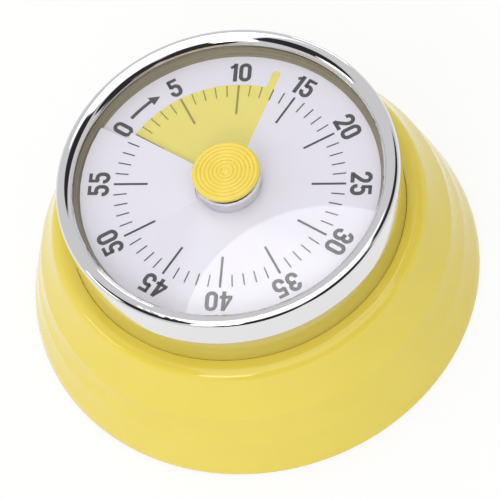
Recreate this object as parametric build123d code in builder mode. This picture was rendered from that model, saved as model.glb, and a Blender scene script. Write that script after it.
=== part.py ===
from build123d import *

import os
from math import acos, atan2, cos, degrees, hypot, pi, radians, sin

os.makedirs("parts", exist_ok=True)

# Wind-up kitchen timer, in mm. It stands on z = 0 with its arbor along +Z. Minute 0 is towards +Y and
# the minutes run clockwise seen from above. The knob rests at 13 minutes, and the film shows that time.
rest_minutes = 13
film_minutes = 59
slit_minutes = 2.0
lip_minutes = 0.12
lip_run_minutes = 10.0
zero_room_minutes = 0.6
minute_degrees = 6

# Clearances, each across one gap
press_gap = 0.01
running_gap = 0.05
seat_gap = 0.15
free_gap = 0.3

# Dial, film and lens
dial_radius = 27.2
dial_thickness = 0.4
rehaut_width = 1.3
dial_hole_radius = 2.2
film_radius = 20.0
film_thickness = 0.12
film_gap = 0.1
film_hole_radius = 2.2
film_drop = 0.5
tab_length = 3.5
tab_width = 1.4
tab_round = 0.6
slit_start_radius = 5.9
slit_end_gap = 0.6
lip_rise = 0.9
lip_steps = 10
hub_radius = 5.0
hub_thickness = 0.38
rehaut_height = 1.85
rehaut_lip = 0.45
lens_thickness = 0.8
lens_rise = 0.95
lens_gap = 0.1

# Bezel and neck
sleeve_wall = 1.05
bezel_wall = 1.1
bezel_lip = 2.85
bezel_lip_edge = 0.2
bezel_height = 1.4
bezel_round = 1.05
bezel_overhang = 0.55
neck_flare = 0.4
neck_height = 6.3
dial_seat_rise = 1.3
dial_ledge = 2.4
dial_ledge_thickness = 1.4
sleeve_clearance = 0.5
throat_wall = 3.0
neck_flange_thickness = 1.5
neck_flange_width = 1.3
hang_drop = 4.2
hang_width = 4.85
hang_thickness = 2.5

# Base shell, built outward from the neck and upward from the floor
crease_gap = 0.06
shoulder_flat = 1.34
shoulder_run = 2.2
shoulder_drop = 1.6
high_ridge_step = 3.3
mid_ridge_step = 1.7
low_ridge_step = 1.6
foot_flare = 0.4
low_ridge_height = 2.4
mid_ridge_rise = 5.5
high_ridge_rise = 5.7
shoulder_rise = 8.8
high_cove = 0.2
mid_cove = 0.18
low_cove = 0.12
ridge_round = 1.5
shell_wall = 1.6
cover_seat_width = 0.9

# Bottom cover, foot ring and magnet
foot_drop = 0.4
cover_recess = 0.2
cover_thickness = 2.0
foot_ring_width = 2.6
foot_ring_inset = 1.15
foot_groove_depth = 0.5
foot_ring_round = 0.2
magnet_radius = 10.0
magnet_thickness = 2.8
magnet_recess = 0.4
magnet_chamfer = 0.2
pocket_wall = 1.2
pocket_roof = 1.0
post_count = 3
post_radius = 2.2
post_angle = 30
post_inset = 1.25
cover_screw_radius = 1.2
cover_screw_length = 8.0
cover_screw_head_radius = 2.1
cover_screw_head = 1.0
screw_slot_width = 0.5
screw_slot_depth = 0.3

# Knob and its collar
knob_radius = 5.85
knob_thickness = 0.8
knob_gap = 0.4
knob_edge_round = 0.2
knob_rings = 7
knob_ring_height = 0.2
knob_button_radius = 0.75
collar_radius = 5.55
knob_socket_depth = 0.5

# Movement plates, pillars and screws
plate_thickness = 1.0
front_plate_inset = 1.35
rear_plate_rim = 3.0
pillar_inset = 4.5
pillar_radius = 1.5
pillar_tenon_radius = 0.9
pillar_angles = (45, 140, 315)
small_screw_radius = 0.8
small_screw_head_radius = 1.5
small_screw_head = 0.7
small_screw_length = 2.6
movement_screw_inset = 3.05
movement_screw_count = 3
movement_screw_angle = 90

# Arbors
main_arbor_radius = 1.5
main_pivot_radius = 0.9
spring_hub_radius = 2.6
arbor_radius = 0.65
pivot_radius = 0.4
end_shake = 0.1

# Heights of the wheels, from the front plate down
top_gap = 0.9
main_wheel_thickness = 1.2
ratchet_thickness = 0.8
second_gap = 1.0
second_wheel_thickness = 1.0
cam_gap = 1.2
third_wheel_thickness = 0.8
lever_gap = 1.2
escape_wheel_thickness = 0.7
balance_gap = 0.8
balance_thickness = 0.7
bottom_gap = 0.7
level_clearance = 0.2
lever_clearance = 0.1

# Going train: tooth counts and modules, with tooth proportions in modules
wheel_teeth = 48
pinion_leaves = 8
main_module = 0.5
second_module = 0.35
third_module = 0.3
wheel_addendum = 1.2
wheel_dedendum = 1.1
wheel_tooth = 1.4
pinion_leaf = 1.05
pinion_root_gap = 0.4
leaf_overlap = 0.2
train_angle = 200
third_circle = 16.0
escape_circle = 16.0
verge_circle = 16.5
wheel_spokes = 5
spoke_rim = 2.4
spoke_hub = 2.4

# Ratchet, click, escapement and balance
ratchet_teeth = 12
ratchet_radius = 4.2
ratchet_tooth_depth = 0.8
click_circle = 7.4
click_radius = 1.0
click_pin_radius = 0.5
click_tip_radius = 0.25
escape_teeth = 15
escape_radius = 5.0
escape_tooth_depth = 1.2
verge_distance = 6.6
pallet_circle = 4.7
pallet_angle = 48
pallet_pin_radius = 0.3
pallet_arm_radius = 0.8
pallet_hub_radius = 1.4
pallet_pin_gap = 0.15
pallet_lever_thickness = 0.6
balance_reach = 4.6
balance_width = 1.5
balance_weight_radius = 1.1

# Mainspring, wound in half turns
spring_turns = 6
spring_pitch = 1.0
spring_strip = 0.3
spring_clearance = 0.4
spring_tail = 1.5
spring_angle = 120
spring_post_radius = 0.8
spring_tenon_radius = 0.4

# Bell and hammer
bell_radius = 22.0
bell_wall = 0.8
bell_round = 3.0
bell_rim_gap = 1.3
bell_floor_gap = 1.2
bell_post_radius = 2.5
bell_screw_radius = 1.0
bell_screw_head_radius = 2.2
bell_screw_head = 0.8
bell_screw_length = 3.5
hammer_circle = 14.4
hammer_angle = 60
hammer_reach_angle = 45
hammer_head_radius = 1.5
hammer_head_height = 1.6
hammer_head_gap = 0.7
hammer_arm_width = 1.6
hammer_arm_thickness = 0.8
hammer_tenon_radius = 0.4
hammer_top_gap = 0.4
hammer_hub_radius = 1.5
cam_radius = 4.6
cam_notch_depth = 0.9
cam_notch_angle = 14
trip_nose_radius = 0.4
trip_gap = 0.15

# Heights worked out from the sizes above
low_ridge = low_ridge_height
mid_ridge = low_ridge + mid_ridge_rise
high_ridge = mid_ridge + high_ridge_rise
base_top = high_ridge + shoulder_rise
neck_top = base_top + neck_height
dial_seat = neck_top + dial_seat_rise
dial_top = dial_seat + dial_thickness
film_bottom = dial_top + film_gap
film_top = film_bottom + film_thickness
hub_top = film_top + hub_thickness
rehaut_top = dial_top + rehaut_height
lens_edge = rehaut_top + lens_thickness
lip_under = lens_edge + lens_gap
bezel_crest = lip_under + bezel_height
knob_under = lens_edge + lens_rise + knob_gap
knob_rim = knob_under + knob_thickness
arbor_top = knob_under + knob_socket_depth
cover_bottom = foot_drop + cover_recess
cover_top = cover_bottom + cover_thickness
magnet_top = magnet_recess + magnet_thickness
roof_top = magnet_top + pocket_roof
shell_under = base_top - shell_wall
flange_under = shell_under - neck_flange_thickness
hang_under = neck_top - hang_drop
hang_top = hang_under + hang_thickness
front_under = hang_under - plate_thickness
main_wheel_top = front_under - top_gap
main_wheel_bottom = main_wheel_top - main_wheel_thickness
ratchet_bottom = main_wheel_bottom - ratchet_thickness
second_wheel_top = ratchet_bottom - second_gap
second_wheel_bottom = second_wheel_top - second_wheel_thickness
third_wheel_top = second_wheel_bottom - cam_gap
third_wheel_bottom = third_wheel_top - third_wheel_thickness
escape_wheel_top = third_wheel_bottom - lever_gap
escape_wheel_bottom = escape_wheel_top - escape_wheel_thickness
balance_top = escape_wheel_bottom - balance_gap
balance_bottom = balance_top - balance_thickness
rear_top = balance_bottom - bottom_gap
rear_under = rear_top - plate_thickness
cam_top = second_wheel_bottom - level_clearance
cam_bottom = third_wheel_top + level_clearance
spring_bottom = rear_top + spring_clearance
spring_top = third_wheel_bottom - spring_clearance
lever_top = third_wheel_bottom - lever_clearance
lever_bottom = lever_top - pallet_lever_thickness
bell_rim = rear_under - bell_rim_gap
bell_bottom = roof_top + bell_floor_gap
bell_floor = bell_bottom + bell_wall
hammer_top = bell_rim - hammer_top_gap
hammer_arm_top = hammer_top - (hammer_head_height - hammer_arm_thickness) / 2

# Radii worked out from the sizes above
dial_view_radius = dial_radius - rehaut_width
neck_bore = dial_radius + seat_gap
sleeve_radius = neck_bore + sleeve_wall
bezel_bore = sleeve_radius + running_gap
bezel_radius = bezel_bore + bezel_wall
neck_top_radius = bezel_radius - bezel_overhang
neck_foot_radius = neck_top_radius + neck_flare
throat_radius = neck_top_radius - throat_wall
shell_hole = neck_foot_radius + crease_gap
flange_radius = shell_hole + neck_flange_width
shoulder_radius = shell_hole + shoulder_flat + shoulder_run
high_ridge_radius = shoulder_radius + high_ridge_step
mid_ridge_radius = high_ridge_radius + mid_ridge_step
low_ridge_radius = mid_ridge_radius + low_ridge_step
base_radius = low_ridge_radius + foot_flare
cover_pocket_radius = low_ridge_radius - shell_wall
cover_radius = cover_pocket_radius - seat_gap
foot_ring_outer = cover_radius - foot_ring_inset
foot_ring_inner = foot_ring_outer - foot_ring_width
post_circle = neck_bore + post_inset
front_plate_radius = neck_bore - front_plate_inset
pillar_circle = front_plate_radius - pillar_inset
rear_plate_radius = pillar_circle + rear_plate_rim
movement_screw_circle = neck_bore - movement_screw_inset
lens_hole = collar_radius + free_gap
bell_inner = bell_radius - bell_wall


def save(piece, name):
    """Name a finished piece and write it as its own file."""
    piece.part.label = name
    export_step(piece.part, f"parts/{name}.step")


def polar(radius, angle):
    """Point at a radius and an angle in degrees from +X."""
    return (radius * cos(radians(angle)), radius * sin(radians(angle)))


def minute_angle(minute):
    """Angle of a dial minute in degrees from +X."""
    return 90 - minute_degrees * minute


def radial_plane(minute):
    """Upright plane through the arbor: local X runs outward at the minute, local Y runs up."""
    outward = polar(1, minute_angle(minute))
    return Plane((0, 0, 0), x_dir=(*outward, 0), z_dir=(outward[1], -outward[0], 0))


def turned(*points):
    """Piece turned about the arbor from corner points of radius and height."""
    with BuildPart() as piece:
        with BuildSketch(Plane.XZ):
            with BuildLine():
                Polyline(*points, close=True)
            make_face()
        revolve(axis=Axis.Z)
    return piece


def sector(inner, outer, start_minute, end_minute):
    """Flat sector of a ring between two dial minutes."""
    middle = (start_minute + end_minute) / 2
    angles = [minute_angle(minute) for minute in (start_minute, middle, end_minute)]
    with BuildSketch() as flat:
        with BuildLine():
            outside = ThreePointArc(*[polar(outer, angle) for angle in angles])
            inside = ThreePointArc(*[polar(inner, angle) for angle in angles])
            Line(inside @ 0, outside @ 0)
            Line(inside @ 1, outside @ 1)
        make_face()
    return flat.sketch


def ramp(inner, outer, start_minute, start_heights, end_minute, end_heights, steps=1):
    """Thin slab that climbs in straight steps from one dial minute to another.

    The heights at each end are those of its lower and upper face.
    """
    with BuildPart() as slab:
        for step in range(steps + 1):
            share = step / steps
            minute = start_minute + share * (end_minute - start_minute)
            lower = start_heights[0] + share * (end_heights[0] - start_heights[0])
            upper = start_heights[1] + share * (end_heights[1] - start_heights[1])
            with BuildSketch(radial_plane(minute)):
                with Locations(((inner + outer) / 2, (lower + upper) / 2)):
                    Rectangle(outer - inner, upper - lower)
        loft(ruled=True)
    return slab.part


def swing(near, far, distance):
    """Angle at the arbor between two axes on circles of two radii, a distance apart."""
    return degrees(acos((near**2 + far**2 - distance**2) / (2 * near * far)))


# Axes of the train, each as an angle and a place on the plates
second_circle = main_module * (wheel_teeth + pinion_leaves) / 2
third_distance = second_module * (wheel_teeth + pinion_leaves) / 2
escape_distance = third_module * (wheel_teeth + pinion_leaves) / 2
third_angle = train_angle + swing(second_circle, third_circle, third_distance)
escape_angle = third_angle + swing(third_circle, escape_circle, escape_distance)
verge_angle = escape_angle + swing(escape_circle, verge_circle, verge_distance)
second_axis = polar(second_circle, train_angle)
third_axis = polar(third_circle, third_angle)
escape_axis = polar(escape_circle, escape_angle)
verge_axis = polar(verge_circle, verge_angle)
hammer_axis = polar(hammer_circle, hammer_angle)


def bearing(start, end):
    """Angle in degrees of the line from one axis to another."""
    return degrees(atan2(end[1] - start[1], end[0] - start[0]))


def make_wheel(axis, module, bore, bottom, thickness, facing, pin_holes=()):
    """Train wheel with a tooth gap facing an angle, and holes for any click pins.

    Its teeth have radial flanks and tips that follow the curve traced by a circle of half the pinion's
    radius rolling on the pitch circle, which is the curve that a radial leaf runs on.
    """
    pitch = module * wheel_teeth / 2
    roll = module * pinion_leaves / 4
    tip = pitch + wheel_addendum * module
    root = pitch - wheel_dedendum * module
    half = degrees(wheel_tooth / wheel_teeth)
    step = 360 / wheel_teeth

    def lean(radius):
        turn = acos(((pitch + roll) ** 2 + roll**2 - radius**2) / (2 * (pitch + roll) * roll))
        rolled = turn * roll / pitch
        along = (pitch + roll) * cos(rolled) - roll * cos(rolled + turn)
        across = (pitch + roll) * sin(rolled) - roll * sin(rolled + turn)
        return degrees(atan2(across, along))

    middle = (pitch + tip) / 2
    with BuildPart() as wheel:
        with BuildSketch(Plane((*axis, bottom))):
            with BuildLine():
                for tooth in range(wheel_teeth):
                    centre = facing + (tooth + 0.5) * step
                    before = centre - half
                    after = centre + half
                    Line(polar(root, before), polar(pitch, before))
                    ThreePointArc(
                        polar(pitch, before),
                        polar(middle, before + lean(middle)),
                        polar(tip, before + lean(tip)),
                    )
                    Line(polar(tip, before + lean(tip)), polar(tip, after - lean(tip)))
                    ThreePointArc(
                        polar(tip, after - lean(tip)),
                        polar(middle, after - lean(middle)),
                        polar(pitch, after),
                    )
                    Line(polar(pitch, after), polar(root, after))
                    Line(polar(root, after), polar(root, before + step))
            make_face()
            Circle(bore, mode=Mode.SUBTRACT)
            rim = root - spoke_rim * module
            hub = bore + spoke_hub * module
            hole = (rim - hub) / 2
            with PolarLocations((rim + hub) / 2, wheel_spokes, start_angle=facing):
                Circle(min(hole, (rim + hub) / 2 * sin(pi / wheel_spokes) - module), mode=Mode.SUBTRACT)
            if pin_holes:
                with Locations(*pin_holes):
                    Circle(click_pin_radius + press_gap, mode=Mode.SUBTRACT)
        extrude(amount=thickness)
    return wheel


def make_pinion(axis, module, leaf_bottom, leaf_top, facing):
    """Arbor with its leaves cut in it, one leaf facing an angle, and a pivot at each end."""
    pitch = module * pinion_leaves / 2
    tip = pitch + pinion_leaf / 2 * module
    root = pitch - (wheel_addendum + pinion_root_gap) * module
    half = degrees(pinion_leaf / pinion_leaves)
    step = 360 / pinion_leaves
    with BuildPart() as arbor:
        with BuildSketch(Plane((*axis, leaf_bottom))):
            with BuildLine():
                for leaf in range(pinion_leaves):
                    centre = facing + leaf * step
                    Line(polar(root, centre - half), polar(pitch, centre - half))
                    ThreePointArc(
                        polar(pitch, centre - half), polar(tip, centre), polar(pitch, centre + half)
                    )
                    Line(polar(pitch, centre + half), polar(root, centre + half))
                    Line(polar(root, centre + half), polar(root, centre + step - half))
            make_face()
        extrude(amount=leaf_top - leaf_bottom)
        with BuildSketch(Plane((*axis, rear_top + end_shake))):
            Circle(arbor_radius)
        extrude(amount=front_under - rear_top - 2 * end_shake)
        with BuildSketch(Plane((*axis, rear_under))):
            Circle(pivot_radius)
        extrude(amount=hang_under - rear_under)
    return arbor


def make_screws(places, head_bottom, head_radius, head, radius, length):
    """Group of alike screws that point up, each a head with a slot and a shank."""
    with BuildPart() as screws:
        with BuildSketch(Plane.XY.offset(head_bottom)):
            with Locations(*places):
                Circle(head_radius)
        extrude(amount=head)
        with BuildSketch(Plane.XY.offset(head_bottom + head)):
            with Locations(*places):
                Circle(radius)
        extrude(amount=length)
        with BuildSketch(Plane.XY.offset(head_bottom)):
            with Locations(*places):
                Rectangle(2 * head_radius, screw_slot_width)
        extrude(amount=screw_slot_depth, mode=Mode.SUBTRACT)
    return screws


# Base shell: coved flank with soft ridges, open below
with BuildPart() as base_shell:
    with BuildSketch(Plane.XZ) as flank:
        with BuildLine():
            shoulder = (shoulder_radius, base_top - shoulder_drop)
            crown = (shoulder_radius - shoulder_run, base_top)
            ridges = [
                (high_ridge_radius, high_ridge),
                (mid_ridge_radius, mid_ridge),
                (low_ridge_radius, low_ridge),
            ]
            Line((shell_hole, base_top), crown)
            TangentArc(crown, shoulder, tangent=(1, 0))
            SagittaArc(shoulder, ridges[0], -high_cove)
            SagittaArc(ridges[0], ridges[1], -mid_cove)
            SagittaArc(ridges[1], ridges[2], -low_cove)
            Polyline(
                ridges[2],
                (base_radius, cover_bottom),
                (base_radius, foot_drop),
                (cover_pocket_radius, foot_drop),
                (cover_pocket_radius, cover_top),
                (cover_pocket_radius - cover_seat_width, cover_top),
                (mid_ridge_radius - shell_wall, mid_ridge),
                (high_ridge_radius - shell_wall, high_ridge),
                (shoulder_radius - shell_wall, shell_under),
                (shell_hole, shell_under),
                (shell_hole, base_top),
            )
        make_face()
        corners = [flank.vertices().sort_by_distance(ridge)[0] for ridge in ridges]
        fillet(corners, ridge_round)
    revolve(axis=Axis.Z)
save(base_shell, "base_shell")

# Neck housing: carries the dial, the lens and the movement, and has the posts for the cover screws
with BuildPart() as neck_housing:
    with BuildSketch(Plane.XZ):
        with BuildLine():
            Polyline(
                (flange_radius, flange_under),
                (flange_radius, shell_under),
                (neck_foot_radius, shell_under),
                (neck_foot_radius, base_top),
                (neck_top_radius, neck_top),
                (sleeve_radius, neck_top),
                (sleeve_radius, lip_under - sleeve_clearance),
                (neck_bore, lip_under - sleeve_clearance),
                (neck_bore, dial_seat),
                (dial_radius - dial_ledge, dial_seat),
                (dial_radius - dial_ledge, dial_seat - dial_ledge_thickness),
                (throat_radius, dial_seat - dial_ledge_thickness),
                (throat_radius, hang_top),
                (neck_bore - hang_width, hang_top),
                (neck_bore - hang_width, hang_under),
                (neck_bore, hang_under),
                (neck_bore, flange_under),
                close=True,
            )
        make_face()
    revolve(axis=Axis.Z)
    with BuildSketch(Plane.XY.offset(cover_top)):
        with PolarLocations(post_circle, post_count, start_angle=post_angle):
            Circle(post_radius)
    extrude(amount=shell_under - cover_top)
    with BuildSketch(Plane.XY.offset(cover_top)):
        with PolarLocations(post_circle, post_count, start_angle=post_angle):
            Circle(cover_screw_radius + press_gap)
    extrude(amount=cover_screw_length, mode=Mode.SUBTRACT)
    with BuildSketch(Plane.XY.offset(hang_under)):
        with PolarLocations(movement_screw_circle, movement_screw_count, start_angle=movement_screw_angle):
            Circle(small_screw_radius + press_gap)
    extrude(amount=small_screw_length - plate_thickness + seat_gap, mode=Mode.SUBTRACT)
save(neck_housing, "neck_housing")

# Bezel: bright ring over the sleeve, with a round crest and a lip that curves down to the lens
with BuildPart() as bezel:
    with BuildSketch(Plane.XZ):
        with BuildLine():
            crest = (bezel_radius - bezel_round, bezel_crest)
            lip_edge = (bezel_radius - bezel_lip, lip_under + bezel_lip_edge)
            shoulder_turn = bezel_round * (1 - cos(pi / 4))
            Line((bezel_radius, neck_top), (bezel_radius, bezel_crest - bezel_round))
            ThreePointArc(
                (bezel_radius, bezel_crest - bezel_round),
                (bezel_radius - shoulder_turn, bezel_crest - shoulder_turn),
                crest,
            )
            TangentArc(crest, lip_edge, tangent=(-1, 0))
            Polyline(
                lip_edge,
                (bezel_radius - bezel_lip, lip_under),
                (bezel_bore, lip_under),
                (bezel_bore, neck_top),
                (bezel_radius, neck_top),
            )
        make_face()
    revolve(axis=Axis.Z)
save(bezel, "bezel")

# Rehaut: sloping ring between the dial and the lens
rehaut_ring = turned(
    (dial_view_radius, dial_top),
    (dial_radius, dial_top),
    (dial_radius, rehaut_top),
    (dial_radius - rehaut_lip, rehaut_top),
)
save(rehaut_ring, "rehaut_ring")

# Lens: shallow dome with a hole that the knob's collar turns in
with BuildPart() as lens:
    with BuildSketch(Plane.XZ):
        with BuildLine():
            lens_middle = (dial_radius + lens_hole) / 2
            dome = [
                (radius, lens_edge + lens_rise * (1 - (radius / dial_radius) ** 2))
                for radius in (dial_radius, lens_middle, lens_hole)
            ]
            under = [(radius, height - lens_thickness) for radius, height in dome]
            ThreePointArc(*dome)
            Line(dome[2], under[2])
            ThreePointArc(*under)
            Line(under[0], dome[0])
        make_face()
    revolve(axis=Axis.Z)
save(lens, "lens")

# Dial: printed disc with a slit at minute 0, whose far side climbs to a lip that the film passes under.
# Outside the film the lip stands back, so that the printed zero stays on the flat disc.
slit_end_radius = film_radius + slit_end_gap
with BuildPart() as dial:
    with BuildSketch(Plane.XY.offset(dial_seat)):
        Circle(dial_radius)
        Circle(dial_hole_radius, mode=Mode.SUBTRACT)
        slit = sector(slit_start_radius, slit_end_radius, -lip_run_minutes, 0)
        add(slit, mode=Mode.SUBTRACT)
        lip_bed = sector(slit_end_radius, dial_view_radius, -lip_run_minutes, -zero_room_minutes)
        add(lip_bed, mode=Mode.SUBTRACT)
    extrude(amount=dial_thickness)
    add(
        ramp(
            slit_start_radius + running_gap,
            dial_view_radius - running_gap,
            -lip_run_minutes,
            (dial_seat, dial_top),
            -lip_minutes,
            (dial_seat + lip_rise, dial_top + lip_rise),
            lip_steps,
        )
    )
    zero_start = -zero_room_minutes - lip_minutes
    with BuildSketch(Plane.XY.offset(dial_top)):
        add(sector(slit_end_radius - seat_gap, dial_view_radius, zero_start, 0))
    extrude(amount=lip_rise, mode=Mode.SUBTRACT)
save(dial, "dial")

# Bottom cover with the magnet pocket, the groove for the foot ring and sunk screw holes
with BuildPart() as bottom_cover:
    with BuildSketch(Plane.XZ):
        with BuildLine():
            pocket_radius = magnet_radius + running_gap
            groove_top = cover_bottom + foot_groove_depth
            Polyline(
                (0, magnet_top),
                (pocket_radius, magnet_top),
                (pocket_radius, cover_bottom),
                (foot_ring_inner - running_gap, cover_bottom),
                (foot_ring_inner - running_gap, groove_top),
                (foot_ring_outer + running_gap, groove_top),
                (foot_ring_outer + running_gap, cover_bottom),
                (cover_radius, cover_bottom),
                (cover_radius, cover_top),
                (pocket_radius + pocket_wall, cover_top),
                (pocket_radius + pocket_wall, roof_top),
                (0, roof_top),
                close=True,
            )
        make_face()
    revolve(axis=Axis.Z)
    with BuildSketch(Plane.XY.offset(cover_bottom)):
        with PolarLocations(post_circle, post_count, start_angle=post_angle):
            Circle(cover_screw_head_radius + seat_gap)
    extrude(amount=cover_recess + cover_screw_head, mode=Mode.SUBTRACT)
    with BuildSketch(Plane.XY.offset(cover_bottom)):
        with PolarLocations(post_circle, post_count, start_angle=post_angle):
            Circle(cover_screw_radius + seat_gap)
    extrude(amount=cover_thickness, mode=Mode.SUBTRACT)
save(bottom_cover, "bottom_cover")

cover_screw_places = [
    polar(post_circle, post_angle + turn * 360 / post_count) for turn in range(post_count)
]
cover_screws = make_screws(
    cover_screw_places,
    cover_bottom + cover_recess,
    cover_screw_head_radius,
    cover_screw_head,
    cover_screw_radius,
    cover_screw_length,
)
save(cover_screws, "cover_screws")

# Magnet that holds the timer on a steel door, and the rubber ring that it stands on
with BuildPart() as magnet:
    with BuildSketch(Plane.XY.offset(magnet_recess)):
        Circle(magnet_radius)
    extrude(amount=magnet_thickness)
    chamfer(magnet.faces().sort_by(Axis.Z)[0].edges(), magnet_chamfer)
save(magnet, "magnet")

with BuildPart() as foot_ring:
    with BuildSketch(Plane.XY):
        Circle(foot_ring_outer)
        Circle(foot_ring_inner, mode=Mode.SUBTRACT)
    extrude(amount=cover_bottom + foot_groove_depth)
    fillet(foot_ring.faces().sort_by(Axis.Z)[0].edges(), foot_ring_round)
save(foot_ring, "foot_ring")

# Movement plates with their pivot holes
train_axes = [second_axis, third_axis, escape_axis, verge_axis]
pillar_places = [polar(pillar_circle, angle) for angle in pillar_angles]
movement_screw_places = [
    polar(movement_screw_circle, movement_screw_angle + turn * 360 / movement_screw_count)
    for turn in range(movement_screw_count)
]
spring_start = spring_hub_radius + free_gap + spring_strip / 2
spring_end = spring_start + spring_turns * spring_pitch
spring_post_along = spring_tail + spring_post_radius + running_gap
spring_post_axis = polar(
    hypot(spring_end, spring_post_along),
    spring_angle + degrees(atan2(spring_post_along, spring_end)),
)

with BuildPart() as front_plate:
    with BuildSketch(Plane.XY.offset(front_under)):
        Circle(front_plate_radius)
        Circle(main_arbor_radius + running_gap, mode=Mode.SUBTRACT)
        with Locations(*train_axes, hammer_axis):
            Circle(pivot_radius + running_gap, mode=Mode.SUBTRACT)
        with Locations(*pillar_places):
            Circle(pillar_tenon_radius + press_gap, mode=Mode.SUBTRACT)
        with Locations(*movement_screw_places):
            Circle(small_screw_radius + seat_gap, mode=Mode.SUBTRACT)
    extrude(amount=plate_thickness)
save(front_plate, "front_plate")

with BuildPart() as rear_plate:
    with BuildSketch(Plane.XY.offset(rear_under)):
        Circle(rear_plate_radius)
        Circle(main_pivot_radius + running_gap, mode=Mode.SUBTRACT)
        with Locations(*train_axes):
            Circle(pivot_radius + running_gap, mode=Mode.SUBTRACT)
        with Locations(hammer_axis):
            Circle(arbor_radius + running_gap, mode=Mode.SUBTRACT)
        with Locations(*pillar_places):
            Circle(small_screw_radius + seat_gap, mode=Mode.SUBTRACT)
        with Locations(spring_post_axis):
            Circle(spring_tenon_radius + press_gap, mode=Mode.SUBTRACT)
    extrude(amount=plate_thickness)
save(rear_plate, "rear_plate")

with BuildPart() as plate_pillars:
    with BuildSketch(Plane.XY.offset(rear_top)):
        with Locations(*pillar_places):
            Circle(pillar_radius)
    extrude(amount=front_under - rear_top)
    with BuildSketch(Plane.XY.offset(front_under)):
        with Locations(*pillar_places):
            Circle(pillar_tenon_radius)
    extrude(amount=plate_thickness)
    with BuildSketch(Plane.XY.offset(rear_top)):
        with Locations(*pillar_places):
            Circle(small_screw_radius + press_gap)
    extrude(amount=small_screw_length - plate_thickness + seat_gap, mode=Mode.SUBTRACT)
save(plate_pillars, "plate_pillars")

pillar_screws = make_screws(
    pillar_places,
    rear_under - small_screw_head,
    small_screw_head_radius,
    small_screw_head,
    small_screw_radius,
    small_screw_length,
)
save(pillar_screws, "pillar_screws")

movement_screws = make_screws(
    movement_screw_places,
    front_under - small_screw_head,
    small_screw_head_radius,
    small_screw_head,
    small_screw_radius,
    small_screw_length,
)
save(movement_screws, "movement_screws")

# Main arbor, from its lower pivot to the knob, with a hub for the mainspring
main_arbor = turned(
    (0, rear_under + seat_gap),
    (main_pivot_radius, rear_under + seat_gap),
    (main_pivot_radius, rear_top + end_shake),
    (spring_hub_radius, rear_top + end_shake),
    (spring_hub_radius, spring_top),
    (main_arbor_radius, spring_top),
    (main_arbor_radius, arbor_top),
    (0, arbor_top),
)
save(main_arbor, "main_arbor")

# Knob: thin disc whose top has rounded rings about a small button
with BuildPart() as knob:
    with BuildSketch(Plane.XZ):
        with BuildLine():
            ring_outer = knob_radius - knob_edge_round
            ring_pitch = (ring_outer - knob_button_radius) / knob_rings
            edge_turn = knob_edge_round * (1 - cos(pi / 4))
            Polyline(
                (0, knob_rim + knob_ring_height),
                (0, arbor_top),
                (main_arbor_radius + press_gap, arbor_top),
                (main_arbor_radius + press_gap, knob_under),
                (knob_radius - knob_edge_round, knob_under),
                (knob_radius, knob_under + knob_edge_round),
                (knob_radius, knob_rim - knob_edge_round),
            )
            ThreePointArc(
                (knob_radius, knob_rim - knob_edge_round),
                (knob_radius - edge_turn, knob_rim - edge_turn),
                (ring_outer, knob_rim),
            )
            for ring in range(knob_rings):
                outside = ring_outer - ring * ring_pitch
                ThreePointArc(
                    (outside, knob_rim),
                    (outside - ring_pitch / 2, knob_rim + knob_ring_height),
                    (outside - ring_pitch, knob_rim),
                )
            TangentArc(
                (0, knob_rim + knob_ring_height), (knob_button_radius, knob_rim), tangent=(1, 0)
            )
        make_face()
    revolve(axis=Axis.Z)
save(knob, "knob")

# Bright collar under the knob, and the hub that clamps the film
collar_bottom = film_top + running_gap
knob_collar = turned(
    (main_arbor_radius + press_gap, hub_top),
    (hub_radius + running_gap, hub_top),
    (hub_radius + running_gap, collar_bottom),
    (collar_radius, collar_bottom),
    (collar_radius, knob_under),
    (main_arbor_radius + press_gap, knob_under),
)
save(knob_collar, "knob_collar")

film_hub = turned(
    (main_arbor_radius + press_gap, film_top),
    (hub_radius, film_top),
    (hub_radius, hub_top),
    (main_arbor_radius + press_gap, hub_top),
)
save(film_hub, "film_hub")

# Film: the sector that shows the time, its pointer tab, and the tail that waits under the dial
with BuildPart() as time_film:
    with BuildSketch(Plane.XY.offset(film_bottom)):
        add(sector(film_hole_radius, film_radius, 0, rest_minutes))
    extrude(amount=film_thickness)
    pointer = polar(1, minute_angle(rest_minutes))
    with BuildSketch(Plane((0, 0, film_bottom), x_dir=(*pointer, 0))) as tab:
        tab_start = film_radius - tab_width
        with Locations(((tab_start + film_radius + tab_length) / 2, tab_width / 2)):
            Rectangle(tab_width + tab_length, tab_width)
        fillet(tab.vertices().sort_by(Axis.X)[-2:], tab_round)
    extrude(amount=film_thickness)
    tail_top = dial_seat - film_drop
    tail_bottom = tail_top - film_thickness
    tail_inner = slit_start_radius + seat_gap
    add(
        ramp(
            tail_inner,
            film_radius,
            -slit_minutes,
            (tail_bottom, tail_top),
            0,
            (film_bottom, film_top),
        )
    )
    with BuildSketch(Plane.XY.offset(tail_bottom)):
        add(sector(tail_inner, film_radius, rest_minutes - film_minutes, -slit_minutes))
    extrude(amount=film_thickness)
save(time_film, "time_film")

# Main wheel, its ratchet and click, and the cam that lets the hammer fall at minute 0
click_angle = train_angle + 180 / wheel_spokes
click_axis = polar(click_circle, click_angle)
main_wheel = make_wheel(
    (0, 0),
    main_module,
    main_arbor_radius + press_gap,
    main_wheel_bottom,
    main_wheel_thickness,
    train_angle,
    pin_holes=[click_axis],
)
save(main_wheel, "main_wheel")

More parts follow.
